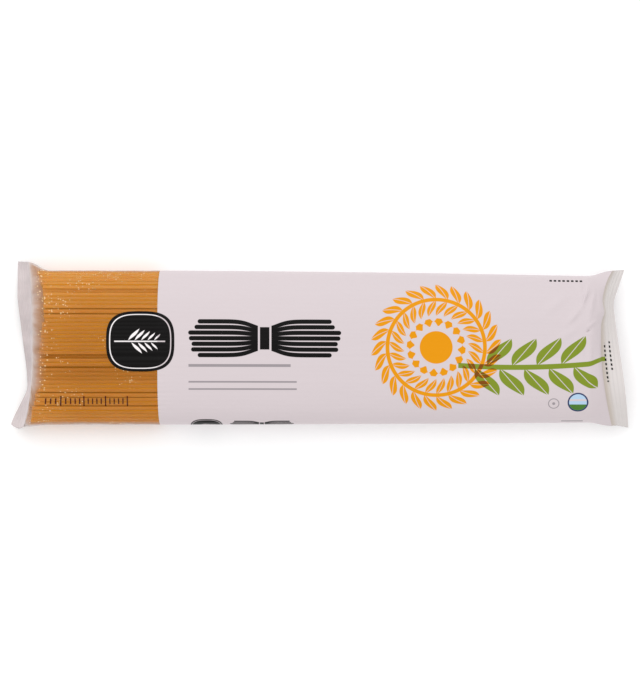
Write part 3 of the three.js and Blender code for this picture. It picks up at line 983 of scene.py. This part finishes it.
# Painted light in the grooves, kept on the film's points and fading in from the left end
grooveLights = np.concatenate([grooveLightAt(topColumns, *laid[True]), grooveLightAt(underColumns, *laid[False])])
grooveLightAlong = smooth((layoutU - clearFilm["paintedGrooveLight"]["fromU"]) / clearFilm["paintedGrooveLight"]["fade"])
grooveLightOf = wrapper.data.attributes.new("paintedGrooveLight", "FLOAT", "POINT")
grooveLightOf.data.foreach_set("value", np.outer(grooveLightAlong, grooveLights).ravel().astype(np.float32))
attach(wrapper, "root")
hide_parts("pasta_packet")

# The lengthwise seam, folded flat against the underside: a strip with an inner and an outer face
underY = film[firstBody + seam["atRing"], len(topColumns):, 1]
columns = len(topColumns) + np.flatnonzero((underY > seam["lowY"]) & (underY < seam["highY"]))
strip = film[:, columns]
outwards = unit(np.cross(np.gradient(strip, axis=0), np.gradient(strip, axis=1)))
inner = strip + outwards * seam["offset"]
outer = strip + outwards * (seam["offset"] + seam["thickness"])
rows, across = strip.shape[:2]
outerFaces = gridFaces(rows, across, False)
innerFaces = outerFaces[:, ::-1] + rows * across
loop = np.concatenate([np.arange(across), np.arange(1, rows) * across + across - 1,
                       (rows - 1) * across + np.arange(across - 2, -1, -1),
                       np.arange(rows - 2, 0, -1) * across])
after = np.roll(loop, -1)
rimFaces = np.stack([after, loop, loop + rows * across, after + rows * across], axis=-1)
stripFaces = np.concatenate([outerFaces, innerFaces, rimFaces])
rowSlots = np.repeat((np.arange(rows - 1) >= clearRows).astype(int), across - 1)
rimSlots = ((loop // across) >= clearRows).astype(int)
stripPoints = np.concatenate([outer.reshape(-1, 3), inner.reshape(-1, 3)])
stripFlat = [False] * (2 * len(outerFaces)) + [True] * len(rimFaces)
backSeam = addPiece("back_seam", stripPoints, stripFaces.tolist(), filmMaterials,
                    np.concatenate([rowSlots, rowSlots, rimSlots]), stripFlat)
ringOfStrip = np.tile(np.repeat(np.arange(rows), across), 2)
placeOfStrip = np.tile(layoutV[columns], 2 * rows)
layFlat(backSeam, ringOfStrip, placeOfStrip)
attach(backSeam, "root")


# The strands. Those against the film lie just under it, and the rest fill the middle in a close pack. Their
# routes run over these stations.
routeX = np.linspace(-137, 127, 45)
middleStation = len(routeX) // 2


# A strand goes straight from station to station of its route, from where it starts and as long as it is.
def strandPaths(y, z, starts, lengths, fractions):
    x = starts[:, None] + lengths[:, None] * np.asarray(fractions)[None, :]
    at = np.clip((x - routeX[0]) / (routeX[-1] - routeX[0]), 0, 1) * (len(routeX) - 1)
    low = np.minimum(at.astype(int), len(routeX) - 2)
    own = np.arange(len(starts))[:, None]
    return np.stack([x, *(mix(part[low, own], part[low + 1, own], at - low) for part in (y, z))], -1)


# Each strand is a superellipse carried along its path, nearly square so that neighbours touch, with its
# sides leaning as the film over it does and both ends slightly bevelled.
def tubes(paths, radius, sides, lean):
    count, stations = paths.shape[:2]
    turn = np.linspace(0, 2 * pi, sides, endpoint=False)
    radii = np.full(stations, radius)
    radii[[0, -1]] *= strands["bevel"]
    wide, high = (np.sign(wave) * np.abs(wave) ** (2 / strands["fullness"])
                  for wave in (np.cos(turn)[None], np.sin(turn)[None]))
    across = wide * np.cos(lean)[:, None] - high * np.sin(lean)[:, None]
    upward = wide * np.sin(lean)[:, None] + high * np.cos(lean)[:, None]
    outline = np.stack([np.zeros_like(across), across, upward], axis=-1)
    points = paths[:, :, None, :] + radii[None, :, None, None] * outline[:, None]
    i, j, k = np.meshgrid(np.arange(count), np.arange(stations - 1), np.arange(sides), indexing="ij")
    here, nextK = (i * stations + j) * sides, (k + 1) % sides
    walls = np.stack([here + k, here + nextK, here + sides + nextK, here + sides + k], -1).reshape(-1, 4)
    firstRing = np.arange(count)[:, None] * stations * sides + np.arange(sides)[None, ::-1]
    lastRing = (np.arange(count)[:, None] * stations + stations - 1) * sides + np.arange(sides)[None, :]
    return points.reshape(-1, 3), walls.tolist(), np.concatenate([firstRing, lastRing]).tolist()


# The outermost layer comes first, then the one nestled in its hollows. Deep ones are darker: painted shade
# on sunk strands and on nestled strands under gaps.
outermost, nestled = [], []
deep = strands["paintedDeepShade"]
for isTop, (shares, sink, total) in laid.items():
    gaps = np.diff(shares) * total - strands["closedGap"]
    depth = np.maximum(sink[1:], sink[:-1]) + strands["nestled"] * strands["diameter"]
    # Painted shade: sunk outer strands are darker, and so are the nestled strands under wide gaps, where
    # shade falls between the strands
    shade = deep["amount"] * np.clip(sink - deep["fromSink"], 0, 1)
    between = deep["amount"] * np.clip(deep["forGap"] * gaps, 0, deep["mostForGap"])
    outermost.append((shares, sink, isTop, shade))
    nestled.append(((shares[1:] + shares[:-1]) / 2, depth, isTop, between))
outerY, outerZ, shades, leans = [], [], [], []
for shares, sink, isTop, shade in outermost + nestled:
    y, z, out, _ = outlineAt(routeX, shares, isTop)
    inset = strands["diameter"] / 2 + strands["underFilm"] + sink[None, :]
    lift = swellAt(routeX, shares) if isTop else 0
    outerY.append(y + out[..., 0] * (lift - inset))
    outerZ.append(z + out[..., 1] * (lift - inset))
    shades.append(shade)
    leans.append(np.arctan2(out[middleStation, :, 1], out[middleStation, :, 0]))
outerY, outerZ = np.concatenate(outerY, axis=1), np.concatenate(outerZ, axis=1)
# Two strands that would share a place at the packet's sides are thinned to one.
kept = np.ones(outerY.shape[1], bool)
ringY, ringZ = outerY[middleStation], outerZ[middleStation]
for i in range(len(kept)):
    away = np.hypot(ringY - ringY[i], ringZ - ringZ[i])
    kept[i] = not np.any((away[:i] < strands["tooClose"] * strands["diameter"]) & kept[:i])
outerY, outerZ, ringY, ringZ = outerY[:, kept], outerZ[:, kept], ringY[kept], ringZ[kept]
shades, leans = np.concatenate(shades)[kept], np.concatenate(leans)[kept]


# The direction from the middle of the bundle and the distance from it
def polar(y, z):
    return np.arctan2(z - strands["middleZ"], y), np.hypot(y, z - strands["middleZ"])


# The close pack is a grid of triangles cut to what lies inside the outer strands and clear of them. Along
# the packet it narrows and shifts as the outline does.
pitch = strands["innerPitch"]
innerY, innerZ = np.meshgrid(np.arange(*strands["innerY"], pitch),
                             np.arange(*strands["innerZ"], pitch * np.sqrt(3) / 2))
innerY = innerY + np.where(np.arange(len(innerY)) % 2, pitch / 2, 0)[:, None]
innerY, innerZ = innerY.ravel(), innerZ.ravel()
apart = np.hypot(innerY[:, None] - ringY[None], innerZ[:, None] - ringZ[None]).min(axis=1)
angle, reach = polar(ringY, ringZ)
innerAngle, innerReach = polar(innerY, innerZ)
ring = np.argsort(angle)
limit = np.interp(innerAngle, angle[ring], reach[ring], period=2 * pi)
isInside = (innerReach < limit) & (apart > strands["diameter"] * strands["innerRoom"])
_, halfWidth, middleY = widthAt(routeX[:, None])
wide, offset = halfWidth / halfWidth[middleStation], middleY - middleY[middleStation]
innerY, innerZ = innerY[isInside][None] * wide + offset, innerZ[isInside][None] + 0 * wide


# Where each strand starts and how long it is, a little unevenly
def loose(y):
    starts = np.interp(y[0], *zip(*strands["leftEnds"])) + random.uniform(*strands["looseLeft"], y.shape[1])
    return starts, strands["rightEnd"] + random.uniform(*strands["looseRight"], y.shape[1]) - starts


points, walls, caps, tonesWithPaintedLight = [], [], [], []
plain = np.zeros(innerY.shape[1])
for y, z, sides, fractions, lean, shade in (
    (outerY, outerZ, strands["sides"], strands["stations"], leans, shades),
    (innerY, innerZ, strands["innerSides"], strands["innerStations"], plain, plain),
):
    starts, lengths = loose(y)
    paths = strandPaths(y, z, starts, lengths, fractions)
    shape, side, ends = tubes(paths, strands["diameter"] / 2, sides, lean)
    base = sum(len(part) for part in points)
    points.append(shape)
    walls += (np.array(side) + base).tolist()
    caps += (np.array(ends) + base).tolist()
    # Painted light across the bundle: lighter towards +Y and darkest a little below the middle, with a
    # random spread and less the painted shade of deep strands
    toneWithPaintedLight = np.interp(y[middleStation], *zip(*strands["tonesWithPaintedLight"]))
    toneWithPaintedLight = toneWithPaintedLight + random.uniform(*strands["toneSpread"], y.shape[1]) - shade
    tonesWithPaintedLight.append(np.repeat(toneWithPaintedLight, len(fractions) * sides))
strandMaterials = [makePasta("dried durum wheat pasta", False), makePasta("cut ends of dried pasta", True)]
bunch = addPiece("spaghetti_strands", np.concatenate(points), walls + caps, strandMaterials,
                 [0] * len(walls) + [1] * len(caps), [False] * len(walls) + [True] * len(caps))
toneOf = bunch.data.attributes.new("toneWithPaintedLight", "FLOAT", "POINT")
toneOf.data.foreach_set("value", np.concatenate(tonesWithPaintedLight).astype(np.float32))
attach(bunch, "root")
print("strands", outerY.shape[1] + innerY.shape[1])

# Floor, lights and camera, in metres and watts
studio = {"floor": 3.0, "floorColour": "#FBFBFB", "floorGlow": 0.12, "paperGrain": 900.0, "world": 0.74,
          "cameraHeight": 2.2, "lens": 246.7, "sensor": 36.0, "aim": (0.0007, -0.0005, 0.012)}
# Name, place, width and power of each lamp, which faces the middle
lights = (
    ("key softbox", (-0.35, 0.85, 1.3), 2.0, 11.6),
    ("fill softbox", (0.3, -0.8, 1.4), 1.6, 3.4),
)


# Matte white backdrop paper: even, without gloss, and faintly lit from behind so that shadows stay light
def makeFloor():
    material, tree, surface = newMaterial("matte white backdrop paper")
    place = addNode(tree, "ShaderNodeTexCoord").outputs["Object"]
    grain = addNode(tree, "ShaderNodeTexNoise", None,
                    {"Vector": place, "Scale": studio["paperGrain"], "Detail": 3.0})
    bump = addNode(tree, "ShaderNodeBump", None,
                   {"Strength": 0.1, "Distance": 0.00003, "Height": grain.outputs[0]})
    fill(tree, surface, {
        "Normal": bump.outputs[0],
        "Base Color": linear(studio["floorColour"]),
        "Emission Color": linear(studio["floorColour"]),
        "Emission Strength": studio["floorGlow"],
        "Roughness": 0.9,
        "Specular IOR Level": 0.1,
    })
    half = studio["floor"] / 2
    mesh = bpy.data.meshes.new("floor")
    corners = [(-half, -half, 0), (half, -half, 0), (half, half, 0), (-half, half, 0)]
    mesh.from_pydata(corners, [], [(0, 1, 2, 3)])
    mesh.materials.append(material)
    floor = bpy.data.objects.new("floor", mesh)
    bpy.context.scene.collection.objects.link(floor)
    return floor


def makeLight(name, place, width, power):
    data = bpy.data.lights.new(name, "AREA")
    data.shape = "DISK"
    data.size = width
    data.energy = power
    lamp = bpy.data.objects.new(name, data)
    lamp.location = place
    lamp.rotation_euler = Vector([-c for c in place]).to_track_quat("-Z", "Y").to_euler()
    bpy.context.scene.collection.objects.link(lamp)
    return lamp


floor = makeFloor()
lamps = [makeLight(*light) for light in lights]

world = bpy.data.worlds.new("soft white room")
world.use_nodes = True
background = world.node_tree.nodes["Background"]
background.inputs["Color"].default_value = (1.0, 1.0, 1.0, 1.0)
background.inputs["Strength"].default_value = studio["world"]
bpy.context.scene.world = world
bpy.context.scene.view_settings.view_transform = "Standard"

cameraData = bpy.data.cameras.new("view from above")
cameraData.sensor_width = studio["sensor"]
cameraData.lens = studio["lens"]
camera = bpy.data.objects.new("view from above", cameraData)
aimX, aimY, aimZ = studio["aim"]
camera.location = (aimX, aimY, aimZ + studio["cameraHeight"])
bpy.context.scene.collection.objects.link(camera)
bpy.context.scene.camera = camera
print("floor, lights and camera placed")
